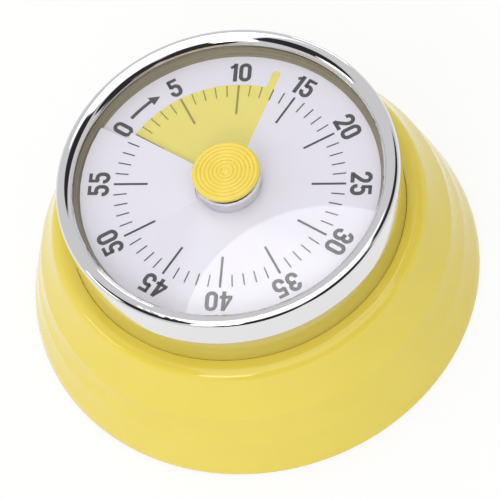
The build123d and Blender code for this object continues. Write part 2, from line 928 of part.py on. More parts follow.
with BuildPart() as ratchet_wheel:
    with BuildSketch(Plane.XY.offset(ratchet_bottom)):
        with BuildLine():
            ratchet_step = 360 / ratchet_teeth
            ratchet_root = ratchet_radius - ratchet_tooth_depth
            for tooth in range(ratchet_teeth):
                start = click_angle + tooth * ratchet_step
                Line(polar(ratchet_root, start), polar(ratchet_radius, start))
                Line(polar(ratchet_radius, start), polar(ratchet_root, start + ratchet_step))
        make_face()
        Circle(main_arbor_radius + press_gap, mode=Mode.SUBTRACT)
    extrude(amount=ratchet_thickness)
save(ratchet_wheel, "ratchet_wheel")

with BuildPart() as click_pawl:
    with BuildSketch(Plane.XY.offset(ratchet_bottom)):
        with Locations(click_axis):
            Circle(click_radius)
        with Locations(polar(ratchet_radius + click_tip_radius + seat_gap, click_angle + ratchet_step)):
            Circle(click_tip_radius)
        make_hull()
    extrude(amount=ratchet_thickness)
    with BuildSketch(Plane.XY.offset(main_wheel_bottom)):
        with Locations(click_axis):
            Circle(click_pin_radius)
    extrude(amount=main_wheel_thickness)
save(click_pawl, "click_pawl")

trip_circle = cam_radius + trip_gap + trip_nose_radius
trip_angle = hammer_angle - degrees(acos(trip_circle / hammer_circle))
with BuildPart() as strike_cam:
    with BuildSketch(Plane.XY.offset(cam_bottom)):
        Circle(cam_radius)
        Circle(main_arbor_radius + press_gap, mode=Mode.SUBTRACT)
        zero_angle = trip_angle - minute_degrees * rest_minutes
        with BuildLine():
            Polyline(
                polar(cam_radius - cam_notch_depth, zero_angle),
                polar(cam_radius + free_gap, zero_angle - cam_notch_angle),
                polar(cam_radius + free_gap, zero_angle + cam_notch_angle),
                close=True,
            )
        make_face(mode=Mode.SUBTRACT)
    extrude(amount=cam_top - cam_bottom)
save(strike_cam, "strike_cam")

# Mainspring: one strip wound from the arbor's hub to its post in half turns about two centres
with BuildPart() as mainspring:
    half_strip = spring_strip / 2
    with BuildSketch(Plane((0, 0, spring_bottom), x_dir=(*polar(1, spring_angle), 0))):
        with BuildLine():
            for edge in (-half_strip, half_strip):
                for half_turn in range(2 * spring_turns):
                    upper = half_turn % 2 == 0
                    centre = (0 if upper else spring_pitch / 2, 0)
                    radius = spring_start + half_turn * spring_pitch / 2 + edge
                    CenterArc(centre, radius, 0 if upper else 180, 180)
                Line((spring_end + edge, 0), (spring_end + edge, spring_tail))
            Line((spring_start - half_strip, 0), (spring_start + half_strip, 0))
            Line((spring_end - half_strip, spring_tail), (spring_end + half_strip, spring_tail))
        make_face()
    extrude(amount=spring_top - spring_bottom)
save(mainspring, "mainspring")

with BuildPart() as spring_post:
    with BuildSketch(Plane((*spring_post_axis, rear_top))):
        Circle(spring_post_radius)
    extrude(amount=spring_top - rear_top)
    with BuildSketch(Plane((*spring_post_axis, rear_under))):
        Circle(spring_tenon_radius)
    extrude(amount=plate_thickness)
save(spring_post, "spring_post")

# Going train: each arbor's leaves run in the wheel before it
second_arbor = make_pinion(
    second_axis,
    main_module,
    main_wheel_bottom - leaf_overlap,
    main_wheel_top + leaf_overlap,
    train_angle + 180,
)
save(second_arbor, "second_arbor")

second_wheel = make_wheel(
    second_axis,
    second_module,
    arbor_radius + press_gap,
    second_wheel_bottom,
    second_wheel_thickness,
    bearing(second_axis, third_axis),
)
save(second_wheel, "second_wheel")

third_arbor = make_pinion(
    third_axis,
    second_module,
    second_wheel_bottom - leaf_overlap,
    second_wheel_top + leaf_overlap,
    bearing(third_axis, second_axis),
)
save(third_arbor, "third_arbor")

third_wheel = make_wheel(
    third_axis,
    third_module,
    arbor_radius + press_gap,
    third_wheel_bottom,
    third_wheel_thickness,
    bearing(third_axis, escape_axis),
)
save(third_wheel, "third_wheel")

escape_arbor = make_pinion(
    escape_axis,
    third_module,
    third_wheel_bottom - leaf_overlap,
    third_wheel_top + leaf_overlap,
    bearing(escape_axis, third_axis),
)
save(escape_arbor, "escape_arbor")

with BuildPart() as escape_wheel:
    with BuildSketch(Plane((*escape_axis, escape_wheel_bottom))):
        with BuildLine():
            escape_step = 360 / escape_teeth
            escape_root = escape_radius - escape_tooth_depth
            for tooth in range(escape_teeth):
                start = tooth * escape_step
                Polyline(
                    polar(escape_root, start),
                    polar(escape_radius, start + escape_step / 4),
                    polar(escape_root, start + escape_step / 2),
                    polar(escape_root, start + escape_step),
                )
        make_face()
        Circle(arbor_radius + press_gap, mode=Mode.SUBTRACT)
    extrude(amount=escape_wheel_thickness)
save(escape_wheel, "escape_wheel")

# Pallet lever above the escape wheel, its staff, and the bar that swings with it
verge_facing = bearing(verge_axis, escape_axis)
pallet_places = [
    (
        escape_axis[0] + polar(pallet_circle, verge_facing + 180 + side * pallet_angle)[0],
        escape_axis[1] + polar(pallet_circle, verge_facing + 180 + side * pallet_angle)[1],
    )
    for side in (-1, 1)
]
with BuildPart() as pallet_lever:
    with BuildSketch(Plane.XY.offset(lever_bottom)):
        with Locations(*pallet_places):
            Circle(pallet_arm_radius)
        with Locations(verge_axis):
            Circle(pallet_hub_radius)
        make_hull()
        with Locations(verge_axis):
            Circle(arbor_radius + press_gap, mode=Mode.SUBTRACT)
    extrude(amount=pallet_lever_thickness)
    with BuildSketch(Plane.XY.offset(escape_wheel_top + pallet_pin_gap)):
        with Locations(*pallet_places):
            Circle(pallet_pin_radius)
    extrude(amount=lever_top - escape_wheel_top - pallet_pin_gap)
save(pallet_lever, "pallet_lever")

with BuildPart() as verge_staff:
    with BuildSketch(Plane((*verge_axis, rear_top + end_shake))):
        Circle(arbor_radius)
    extrude(amount=front_under - rear_top - 2 * end_shake)
    with BuildSketch(Plane((*verge_axis, rear_under))):
        Circle(pivot_radius)
    extrude(amount=hang_under - rear_under)
save(verge_staff, "verge_staff")

with BuildPart() as balance_bar:
    bar_angle = verge_facing + 90
    with BuildSketch(Plane((*verge_axis, balance_bottom), x_dir=(*polar(1, bar_angle), 0))):
        Rectangle(2 * balance_reach, balance_width)
        with Locations((-balance_reach, 0), (balance_reach, 0)):
            Circle(balance_weight_radius)
        Circle(pallet_hub_radius)
        Circle(arbor_radius + press_gap, mode=Mode.SUBTRACT)
    extrude(amount=balance_thickness)
save(balance_bar, "balance_bar")

# Bell: a cup under the rear plate on a post, struck from inside
with BuildPart() as bell:
    with BuildSketch(Plane.XZ) as cup:
        with BuildLine():
            Polyline(
                (bell_screw_radius + running_gap, bell_bottom),
                (bell_radius, bell_bottom),
                (bell_radius, bell_rim),
                (bell_inner, bell_rim),
                (bell_inner, bell_floor),
                (bell_screw_radius + running_gap, bell_floor),
                close=True,
            )
        make_face()
        fillet(cup.vertices().sort_by_distance((bell_radius, bell_bottom))[0], bell_round)
        fillet(cup.vertices().sort_by_distance((bell_inner, bell_floor))[0], bell_round - bell_wall)
    revolve(axis=Axis.Z)
save(bell, "bell")

with BuildPart() as bell_post:
    with BuildSketch(Plane.XY.offset(bell_floor)):
        Circle(bell_post_radius)
    extrude(amount=rear_under - bell_floor)
    with BuildSketch(Plane.XY.offset(bell_floor)):
        Circle(bell_screw_radius + press_gap)
    extrude(amount=bell_screw_length - bell_wall + seat_gap, mode=Mode.SUBTRACT)
save(bell_post, "bell_post")

bell_screw = make_screws(
    [(0, 0)],
    bell_bottom - bell_screw_head,
    bell_screw_head_radius,
    bell_screw_head,
    bell_screw_radius,
    bell_screw_length,
)
save(bell_screw, "bell_screw")

# Hammer: arbor through the rear plate, trip lever on the cam, and an arm with a brass head in the bell
hammer_arm_bottom = hammer_arm_top - hammer_arm_thickness
head_circle = bell_inner - hammer_head_gap - hammer_head_radius
head_axis = polar(head_circle, hammer_angle + hammer_reach_angle)
with BuildPart() as hammer_arbor:
    with BuildSketch(Plane((*hammer_axis, hammer_arm_bottom))):
        Circle(arbor_radius)
    extrude(amount=front_under - end_shake - hammer_arm_bottom)
    with BuildSketch(Plane((*hammer_axis, front_under - end_shake))):
        Circle(pivot_radius)
    extrude(amount=plate_thickness + end_shake)
save(hammer_arbor, "hammer_arbor")

with BuildPart() as trip_lever:
    with BuildSketch(Plane.XY.offset(cam_bottom)):
        with Locations(polar(trip_circle, trip_angle)):
            Circle(trip_nose_radius)
        with Locations(hammer_axis):
            Circle(hammer_hub_radius)
        make_hull()
        with Locations(hammer_axis):
            Circle(arbor_radius + press_gap, mode=Mode.SUBTRACT)
    extrude(amount=cam_top - cam_bottom)
save(trip_lever, "trip_lever")

with BuildPart() as hammer_arm:
    with BuildSketch(Plane.XY.offset(hammer_arm_bottom)):
        with Locations(hammer_axis):
            Circle(hammer_hub_radius)
        with Locations(head_axis):
            Circle(hammer_arm_width / 2)
        make_hull()
        with Locations(hammer_axis):
            Circle(arbor_radius + press_gap, mode=Mode.SUBTRACT)
        with Locations(head_axis):
            Circle(hammer_tenon_radius + press_gap, mode=Mode.SUBTRACT)
    extrude(amount=hammer_arm_thickness)
save(hammer_arm, "hammer_arm")

with BuildPart() as hammer_head:
    with BuildSketch(Plane((*head_axis, hammer_top - hammer_head_height))):
        Circle(hammer_head_radius)
    extrude(amount=hammer_arm_bottom - hammer_top + hammer_head_height)
    with BuildSketch(Plane((*head_axis, hammer_arm_bottom))):
        Circle(hammer_tenon_radius)
    extrude(amount=hammer_arm_thickness)
    with BuildSketch(Plane((*head_axis, hammer_arm_top))):
        Circle(hammer_head_radius)
    extrude(amount=hammer_top - hammer_arm_top)
save(hammer_head, "hammer_head")
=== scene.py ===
"""Looks of a round wind-up kitchen timer: its finishes, dial print and time film, and a small studio."""

import logging
from collections.abc import Iterable
from dataclasses import dataclass, field
from enum import Enum
from math import atan2, cos, degrees, hypot, pi, radians, sin

import bmesh
import bpy
from mathutils import Matrix, Vector


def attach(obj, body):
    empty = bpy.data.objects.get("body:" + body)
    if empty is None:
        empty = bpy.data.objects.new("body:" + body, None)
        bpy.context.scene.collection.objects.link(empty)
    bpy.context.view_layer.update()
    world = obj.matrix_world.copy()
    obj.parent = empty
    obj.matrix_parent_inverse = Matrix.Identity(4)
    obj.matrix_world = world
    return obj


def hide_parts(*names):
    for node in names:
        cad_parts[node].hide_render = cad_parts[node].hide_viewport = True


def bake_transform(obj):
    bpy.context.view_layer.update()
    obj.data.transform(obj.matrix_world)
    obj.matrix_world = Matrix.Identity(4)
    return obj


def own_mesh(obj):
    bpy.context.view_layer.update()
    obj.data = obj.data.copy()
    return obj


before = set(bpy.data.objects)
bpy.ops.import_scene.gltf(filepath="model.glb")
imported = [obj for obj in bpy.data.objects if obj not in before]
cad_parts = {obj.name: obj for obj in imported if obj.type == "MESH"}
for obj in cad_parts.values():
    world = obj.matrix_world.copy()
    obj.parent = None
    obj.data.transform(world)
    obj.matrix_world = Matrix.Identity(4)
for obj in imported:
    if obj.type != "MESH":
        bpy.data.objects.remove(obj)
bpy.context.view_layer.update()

MM = 0.001
MINUTE = 6.0
HOUR = 60.0
# Points closer than this are one, in mm
WELD = 0.002
# Round pen strokes: degrees to a step, and the fewest steps
ARC_STEP = 10.0
ARC_STEPS_LEAST = 3
# Room that a 1 and any other figure take along a line, in mm
NARROW_FIGURE = 1.55
WIDE_FIGURE = 2.12
# Most of a grain's heights lie between these, and it has this much fine detail
GRAIN_LOW = 0.25
GRAIN_HIGH = 0.75
GRAIN_DETAIL = 2.0
# Length of one band of the wave texture at a scale of 1
WAVE_BAND = 2 * pi / 20
# Sockets of the Mix node, which keeps numbers and colours in one list
FACTOR = 0
NUMBER_A = 2
NUMBER_B = 3
COLOUR_A = 6
COLOUR_B = 7
COLOUR_OUT = 2
WHITE = (1.0, 1.0, 1.0, 1.0)
LOG = logging.getLogger("timer")


def linear(hex_colour: str) -> tuple[float, float, float, float]:
    """Turns an sRGB hex colour to linear light.

    Args:
        hex_colour: Colour as six hex digits after a hash.

    Returns:
        Linear red, green, blue and an alpha of 1.
    """
    parts = [int(hex_colour[i : i + 2], 16) / 255 for i in (1, 3, 5)]
    light = [c / 12.92 if c <= 0.04045 else ((c + 0.055) / 1.055) ** 2.4 for c in parts]
    return (*light, 1.0)


def add_node(
    tree: bpy.types.NodeTree, kind: str, inputs: dict[str | int, object] | None = None, **settings: object
) -> bpy.types.Node:
    """Adds a node with its settings, its values and its links.

    Args:
        tree: Node tree that gets the node.
        kind: Blender's name for the kind of node.
        inputs: Value, or socket to link from, for each input by its name or number.
        **settings: Attributes of the node.

    Returns:
        The new node.
    """
    node = tree.nodes.new(kind)
    for name, value in settings.items():
        setattr(node, name, value)
    for key, value in (inputs or {}).items():
        if isinstance(value, bpy.types.NodeSocket):
            tree.links.new(value, node.inputs[key])
        else:
            node.inputs[key].default_value = value
    return node


def bearing(turn: float, height: float) -> Vector:
    """Direction at a turn from +X and a height over the horizon, in degrees."""
    level = cos(radians(height))
    return Vector((cos(radians(turn)) * level, sin(radians(turn)) * level, sin(radians(height))))


def pass_light(tree: bpy.types.NodeTree, seen: bpy.types.NodeSocket) -> bpy.types.NodeSocket:
    """Lets light go straight through a clear piece to what it covers.

    Args:
        tree: The material's nodes.
        seen: Shader that the eye sees.

    Returns:
        The shader for the eye and for light.
    """
    path = add_node(tree, "ShaderNodeLightPath").outputs
    light = {0: path["Is Shadow Ray"], 1: path["Is Diffuse Ray"]}
    passing = add_node(tree, "ShaderNodeMath", light, operation="MAXIMUM")
    gap = add_node(tree, "ShaderNodeBsdfTransparent")
    mix = add_node(tree, "ShaderNodeMixShader", {0: passing.outputs[0], 1: seen, 2: gap.outputs[0]})
    return mix.outputs[0]


def seen_share(tree: bpy.types.NodeTree) -> bpy.types.NodeSocket:
    """Tells what the eye, a mirror or glass looks at from what only lights matt surfaces.

    Args:
        tree: The nodes of a material or of the world.

    Returns:
        Socket that is 1 for a ray that is seen and 0 for one that lights.
    """
    path = add_node(tree, "ShaderNodeLightPath").outputs
    mirrored = {0: path["Is Glossy Ray"], 1: path["Is Transmission Ray"]}
    beyond = add_node(tree, "ShaderNodeMath", mirrored, operation="MAXIMUM")
    seen = {0: path["Is Camera Ray"], 1: beyond.outputs[0]}
    return add_node(tree, "ShaderNodeMath", seen, operation="MAXIMUM").outputs[0]


def minute_of(x: float, y: float) -> float:
    """Dial minute of a point, from -30 to 30, with 0 towards +Y."""
    minute = (90 - degrees(atan2(y, x))) / MINUTE
    return (minute + HOUR / 2) % HOUR - HOUR / 2


@dataclass(frozen=True)
class Finish:
    """A solid surface, with the grain that its making left.

    Args:
        name: The real material and how it was made.
        colour: Colour of most of the surface.
        shade: Colour of the low spots of the grain.
        gloss: Roughness of the high and the low spots.
        grain_mm: Size of a grain along x, y and z.
        relief_mm: Height of the grain.
        metallic: 1 for bare metal.
        ior: Refractive index of the plastic.
    """

    name: str
    colour: str
    shade: str
    gloss: tuple[float, float]
    grain_mm: tuple[float, float, float]
    relief_mm: float
    metallic: float = 0.0
    ior: float = 1.5

    def make(self) -> bpy.types.Material:
        """Makes the material.

        Returns:
            The material, with its nodes linked.
        """
        material = bpy.data.materials.new(self.name)
        material.use_nodes = True
        tree = material.node_tree
        tree.nodes.clear()
        surface = self.surface(tree, self.grain(tree))
        add_node(tree, "ShaderNodeOutputMaterial", {"Surface": surface})
        return material

    def grain(self, tree: bpy.types.NodeTree) -> bpy.types.NodeSocket:
        """Draws the grain.

        Args:
            tree: The material's nodes.

        Returns:
            The grain's height, from 0 to 1.
        """
        place = add_node(tree, "ShaderNodeTexCoord").outputs["Object"]
        scale = [1 / (size * MM) for size in self.grain_mm]
        sized = add_node(tree, "ShaderNodeMapping", {"Vector": place, "Scale": scale})
        noise = add_node(
            tree, "ShaderNodeTexNoise", {"Vector": sized.outputs[0], "Scale": 1.0, "Detail": GRAIN_DETAIL}
        )
        return noise.outputs["Fac"]

    def tint(self, tree: bpy.types.NodeTree, grain: bpy.types.NodeSocket) -> bpy.types.NodeSocket:
        """Colours the surface from the grain.

        Args:
            tree: The material's nodes.
            grain: The grain's height.

        Returns:
            The colour.
        """
        mix = add_node(tree, "ShaderNodeMix", {"Factor": grain}, data_type="RGBA")
        mix.inputs[COLOUR_A].default_value = linear(self.shade)
        mix.inputs[COLOUR_B].default_value = linear(self.colour)
        return mix.outputs[COLOUR_OUT]

    def surface(self, tree: bpy.types.NodeTree, grain: bpy.types.NodeSocket) -> bpy.types.NodeSocket:
        """Joins colour, gloss and relief in the shader.

        Args:
            tree: The material's nodes.
            grain: The grain's height.

        Returns:
            The shader.
        """
        high, low = self.gloss
        rough = add_node(
            tree, "ShaderNodeMapRange", {"Value": grain, "From Min": GRAIN_LOW, "From Max": GRAIN_HIGH}
        )
        rough.inputs["To Min"].default_value = low
        rough.inputs["To Max"].default_value = high
        bump = add_node(
            tree, "ShaderNodeBump", {"Height": grain, "Distance": self.relief_mm * MM, "Strength": 1.0}
        )
        shader = add_node(
            tree,
            "ShaderNodeBsdfPrincipled",
            {
                "Base Color": self.tint(tree, grain),
                "Roughness": rough.outputs[0],
                "Normal": bump.outputs[0],
                "Metallic": self.metallic,
                "IOR": self.ior,
            },
        )
        return shader.outputs[0]


@dataclass(frozen=True)
class LinedFinish(Finish):
    """A moulded surface with fine level lines, one above the other, each drawn lighter as a painted
    highlight.

    Args:
        line_mm: Height from one line to the next.
        line_colour: Painted highlight colour of a line, for the light that it catches.
        line_share: How strongly a line shows.
        line_edge: Height of the wave at which a line starts, from 0 to 1.
    """

    line_mm: float = 0.5
    line_colour: str = "#FFFFFF"
    line_share: float = 0.5
    line_edge: float = 0.6

    def tint(self, tree: bpy.types.NodeTree, grain: bpy.types.NodeSocket) -> bpy.types.NodeSocket:
        """Colours the surface from the grain and the painted highlights of the lines.

        Args:
            tree: The material's nodes.
            grain: The grain's height.

        Returns:
            The colour.
        """
        base = super().tint(tree, grain)
        place = add_node(tree, "ShaderNodeTexCoord").outputs["Object"]
        waves = add_node(
            tree,
            "ShaderNodeTexWave",
            {"Vector": place, "Scale": WAVE_BAND / (self.line_mm * MM)},
            bands_direction="Z",
        )
        thin = add_node(
            tree,
            "ShaderNodeMapRange",
            {"Value": waves.outputs["Fac"], "From Min": self.line_edge, "To Max": self.line_share},
        )
        mix = add_node(tree, "ShaderNodeMix", {"Factor": thin.outputs[0], COLOUR_A: base}, data_type="RGBA")
        mix.inputs[COLOUR_B].default_value = linear(self.line_colour)
        return mix.outputs[COLOUR_OUT]


@dataclass(frozen=True)
class ClearFinish(Finish):
    """A clear moulding that light passes straight on its way to what it covers."""

    def surface(self, tree: bpy.types.NodeTree, grain: bpy.types.NodeSocket) -> bpy.types.NodeSocket:
        """Joins clear plastic for the eye with a plain gap for lamp light.

        Args:
            tree: The material's nodes.
            grain: The grain's height.

        Returns:
            The shader.
        """
        body = super().surface(tree, grain)
        body.node.inputs["Transmission Weight"].default_value = 1.0
        return pass_light(tree, body)


@dataclass(frozen=True)
class TintedFinish(Finish):
    """A thin tinted film that shows the print below it.

    Args:
        through: Colour of the light that it lets through.
        clear_share: Share of the light that it lets through.
    """

    through: str = "#FFFFFF"
    clear_share: float = 0.5

    def surface(self, tree: bpy.types.NodeTree, grain: bpy.types.NodeSocket) -> bpy.types.NodeSocket:
        """Mixes the film's own surface with its tint.

        Args:
            tree: The material's nodes.
            grain: The grain's height.

        Returns:
            The shader.
        """
        body = super().surface(tree, grain)
        tint = add_node(tree, "ShaderNodeBsdfTransparent", {"Color": linear(self.through)})
        seen = add_node(tree, "ShaderNodeMixShader", {0: self.clear_share, 1: body, 2: tint.outputs[0]})
        return pass_light(tree, seen.outputs[0])


@dataclass(frozen=True)
class BoardFinish(Finish):
    """A studio board that is white to the eye and in reflections, and keeps some shadow.

    Args:
        white_share: Share of plain white.
    """

    white_share: float = 0.5

    def surface(self, tree: bpy.types.NodeTree, grain: bpy.types.NodeSocket) -> bpy.types.NodeSocket:
        """Mixes the painted surface with plain white.

        Args:
            tree: The material's nodes.
            grain: The grain's height.

        Returns:
            The shader.
        """
        body = super().surface(tree, grain)
        share = add_node(
            tree, "ShaderNodeMath", {0: seen_share(tree), 1: self.white_share}, operation="MULTIPLY"
        )
        white = add_node(tree, "ShaderNodeEmission", {"Color": WHITE, "Strength": 1.0})
        mix = add_node(tree, "ShaderNodeMixShader", {0: share.outputs[0], 1: body, 2: white.outputs[0]})
        return mix.outputs[0]


# Moulded ABS out of a polished tool: even colour, a faint ripple in its bright reflections
SHELL_ABS = Finish(
    "moulded_gloss_abs_yellow", "#E8D458", "#E3CE4E", (0.06, 0.09), (9.0, 9.0, 9.0), 0.004, ior=1.54
)
# Moulded ABS of the neck: the same gloss, its yellow darkened to olive as painted shade under the bezel's
# overhang
NECK_ABS_PAINTED_SHADE = Finish(
    "moulded_gloss_abs_yellow_painted_shade", "#CFBD59", "#C8B552", (0.06, 0.09), (9.0, 9.0, 9.0), 0.004, ior=1.54
)
# Moulded ABS of the knob: a little paler and more matt than the shell
KNOB_ABS = Finish(
    "moulded_satin_abs_yellow", "#F3DC62", "#EED454", (0.26, 0.34), (1.2, 1.2, 1.2), 0.004, ior=1.54
)
# Bright chrome over moulded ABS: a mirror with a slow waviness from the moulding under it
CHROME = Finish(
    "chrome_plated_abs", "#E6E5E8", "#E0DFE2", (0.03, 0.06), (14.0, 14.0, 14.0), 0.004, metallic=1.0
)
# Turned and polished steel: fine rings round the axis that spread the highlight sideways
TURNED_STEEL = Finish(
    "turned_steel", "#C9C8C4", "#B4B3AE", (0.14, 0.26), (4.0, 4.0, 0.12), 0.002, metallic=1.0
)
# Clear polystyrene, polished: seen only where it mirrors a lamp or the panel
CLEAR = ClearFinish(
    "moulded_clear_polystyrene", "#FFFFFF", "#FDFDFD", (0.0, 0.01), (30.0, 30.0, 30.0), 0.0, ior=1.5
)
# White rigid sheet with a silk print coat: cool white, even, with a soft sheen
DIAL_WHITE = Finish(
    "printed_white_styrene_sheet", "#E3E0EA", "#DEDBE6", (0.32, 0.42), (0.5, 0.5, 0.5), 0.001, ior=1.5
)
# Screen printed ink: nearly black, slightly uneven where it went on
INK = Finish(
    "screen_printed_grey_ink", "#2B282E", "#232026", (0.4, 0.55), (0.3, 0.3, 0.3), 0.002, ior=1.5
)
# Moulded ring, dull: its olive is painted shade, a yellow wall in shadow under the lens, with fine level
# lines drawn lighter as painted highlights
REHAUT_PAINTED_SHADE = LinedFinish(
    "moulded_matt_abs_painted_shade",
    "#7E7556",
    "#6C6349",
    (0.35, 0.5),
    (0.8, 0.8, 0.8),
    0.004,
    line_mm=0.62,
    line_colour="#978E6F",
    line_share=0.6,
)
# Tinted polyester film: pale yellow, and clear enough to read the ticks through it
FILM_YELLOW = TintedFinish(
    "tinted_polyester_film_yellow",
    "#EBDD79",
    "#E7D872",
    (0.22, 0.3),
    (2.5, 2.5, 2.5),
    0.001,
    ior=1.57,
    through="#FFFBB6",
    clear_share=0.8,
)
# Moulded rubber: dark grey, matt, with a fine leathery grain
RUBBER = Finish("moulded_rubber_grey", "#4A4A4B", "#3B3B3D", (0.6, 0.8), (0.45, 0.45, 0.45), 0.03)
# Pressed ferrite: dark grey and sandy
FERRITE = Finish("sintered_ferrite", "#4B4A4C", "#3A393B", (0.45, 0.65), (0.35, 0.35, 0.35), 0.01)
# Stamped brass sheet: brushed along x before it was stamped
BRASS = Finish(
    "brushed_brass_sheet", "#D9BE7C", "#C2A35E", (0.2, 0.34), (5.0, 0.14, 5.0), 0.002, metallic=1.0
)
# Moulded acetal: ivory white with a waxy, half matt skin
ACETAL = Finish(
    "moulded_acetal_ivory", "#E9E6DA", "#DFDBCC", (0.32, 0.42), (0.7, 0.7, 0.7), 0.003, ior=1.48
)
# Rolled spring steel: blue grey, with drawing lines along the strip
SPRING = Finish(
    "rolled_spring_steel", "#8F949C", "#7A7F88", (0.22, 0.36), (3.0, 3.0, 0.1), 0.001, metallic=1.0
)
# Nickel on a pressed steel bell: warm grey, bright, faintly pebbled
NICKEL = Finish(
    "nickel_plated_steel", "#CFCABF", "#C2BCB0", (0.12, 0.2), (1.6, 1.6, 1.6), 0.003, metallic=1.0
)
# Painted studio board: plain, matt and white to the eye, with a soft shadow left in it
BOARD = BoardFinish(
    "painted_studio_board", "#FBFBFA", "#F8F8F7", (0.85, 0.95), (6.0, 6.0, 6.0), 0.0, white_share=0.8
)


def dress(finish: Finish, nodes: Iterable[str]) -> None:
    """Gives CAD nodes a finish.

    Args:
        finish: The finish.
        nodes: Names of the nodes.
    """
    material = finish.make()
    for name in nodes:
        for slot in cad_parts[name].material_slots:
            slot.material = material
        LOG.info("%s: %s", name, finish.name)


def start_piece(name: str) -> bpy.types.Object:
    """Starts an empty mesh in edit mode, with nothing else selected.

    Args:
        name: Name of the piece.

    Returns:
        The new piece, at the origin.
    """
    bpy.ops.object.select_all(action="DESELECT")
    bpy.ops.mesh.primitive_plane_add(size=1.0, location=(0.0, 0.0, 0.0))
    piece = bpy.context.object
    piece.name = name
    piece.data.name = name
    bpy.ops.object.mode_set(mode="EDIT")
    bpy.ops.mesh.select_all(action="SELECT")
    bpy.ops.mesh.delete(type="VERT")
    return piece


def add_nib(piece: bpy.types.Object, at: Vector, heading: float, width: float) -> None:
    """Adds one short edge across a heading, selected, to be drawn along.

    Args:
        piece: The piece in edit mode.
        at: Middle of the edge, in metres.
        heading: Direction that the edge will be drawn in, in degrees.
        width: Length of the edge, in metres.
    """
    ahead = Vector((cos(radians(heading)), sin(radians(heading)), 0.0))
    middle = at - ahead * width / 2
    bpy.ops.mesh.primitive_plane_add(size=width, location=middle, rotation=(0.0, 0.0, radians(heading)))
    mesh = bmesh.from_edit_mesh(piece.data)
    square = [vertex for vertex in mesh.verts if vertex.select]
    for vertex in square:
        vertex.select_set((vertex.co - middle).dot(ahead) < 0)
    mesh.select_flush_mode()
    bmesh.update_edit_mesh(piece.data)
    bpy.ops.mesh.delete(type="VERT")
    mesh = bmesh.from_edit_mesh(piece.data)
    mesh.verts.ensure_lookup_table()
    for vertex in mesh.verts[-2:]:
        vertex.select_set(True)
    mesh.select_flush(True)
    bmesh.update_edit_mesh(piece.data)


def close_flat(piece: bpy.types.Object) -> None:
    """Merges the doubles of a flat piece in edit mode, and turns its faces up.

    Args:
        piece: The piece in edit mode, left in object mode.
    """
    bpy.ops.mesh.select_all(action="SELECT")
    bpy.ops.mesh.remove_doubles(threshold=WELD * MM)
    mesh = bmesh.from_edit_mesh(piece.data)
    for face in mesh.faces:
        face.select_set(face.normal.z < 0)
    bmesh.update_edit_mesh(piece.data)
    bpy.ops.mesh.flip_normals()
    bpy.ops.object.mode_set(mode="OBJECT")


def thicken(piece: bpy.types.Object, thickness: float) -> None:
    """Gives a flat piece its thickness, upwards.

    Args:
        piece: The flat piece.
        thickness: Thickness in metres.
    """
    bpy.context.view_layer.objects.active = piece
    solid = piece.modifiers.new("thickness", "SOLIDIFY")
    solid.thickness = thickness
    solid.offset = 1.0
    bpy.ops.object.modifier_apply(modifier=solid.name)


def copy_turned(pattern: bpy.types.Object, angle: float) -> bpy.types.Object:
    """Copies a piece with its own mesh, turned about the dial's axis.

    Args:
        pattern: The piece to copy.
        angle: Turn in degrees, anticlockwise from above.

    Returns:
        The copy, with its turn in its mesh.
    """
    copy = pattern.copy()
    copy.data = pattern.data.copy()
    copy.data.transform(Matrix.Rotation(radians(angle), 4, "Z"))
    bpy.context.collection.objects.link(copy)
    return copy


def join(pieces: list[bpy.types.Object], name: str) -> bpy.types.Object:
    """Joins pieces into one.

    Args:
        pieces: The pieces.
        name: Name of the joined piece.

    Returns:
        The joined piece.
    """
    bpy.ops.object.select_all(action="DESELECT")
    for piece in pieces:
        piece.select_set(True)
    bpy.context.view_layer.objects.active = pieces[0]
    if len(pieces) > 1:
        bpy.ops.object.join()
    joined = bpy.context.view_layer.objects.active
    joined.name = name
    joined.data.name = name
    return joined


@dataclass(frozen=True)
class Run:
    """A straight bit of a pen stroke, in mm."""

    length: float


@dataclass(frozen=True)
class Turn:
    """A round bit of a pen stroke: its radius in mm and its angle in degrees, positive to the left."""

    radius: float
    angle: float


@dataclass(frozen=True)
class Stroke:
    """One pen stroke of a printed figure.

    Args:
        start: Where it starts, in mm from the figure's lower left corner.
        heading: Direction that it starts in, in degrees.
        moves: Its straight and round bits, in order.
        width: Its width in mm.
    """

    start: tuple[float, float]
    heading: float
    moves: tuple[Run | Turn, ...]
    width: float = 0.7

    def draw(self, piece: bpy.types.Object, shift: float) -> None:
        """Draws the stroke as a flat ribbon.

        Args:
            piece: The piece in edit mode.
            shift: Place of the figure along x, in mm.
        """
        at = Vector((self.start[0] + shift, self.start[1], 0.0)) * MM
        heading = self.heading
        add_nib(piece, at, heading, self.width * MM)
        for move in self.moves:
            ahead = Vector((cos(radians(heading)), sin(radians(heading)), 0.0))
            if isinstance(move, Run):
                step = ahead * move.length * MM
                bpy.ops.mesh.extrude_region_move(TRANSFORM_OT_translate={"value": step})
                at = at + step
                continue
            side = 1.0 if move.angle > 0 else -1.0
            centre = at + Vector((-ahead.y, ahead.x, 0.0)) * side * move.radius * MM
            steps = max(ARC_STEPS_LEAST, round(abs(move.angle) / ARC_STEP))
            bpy.ops.mesh.spin(
                steps=steps, angle=-radians(move.angle), center=centre, axis=(0.0, 0.0, 1.0)
            )
            at = centre + Matrix.Rotation(radians(move.angle), 3, "Z") @ (at - centre)
            heading = heading + move.angle


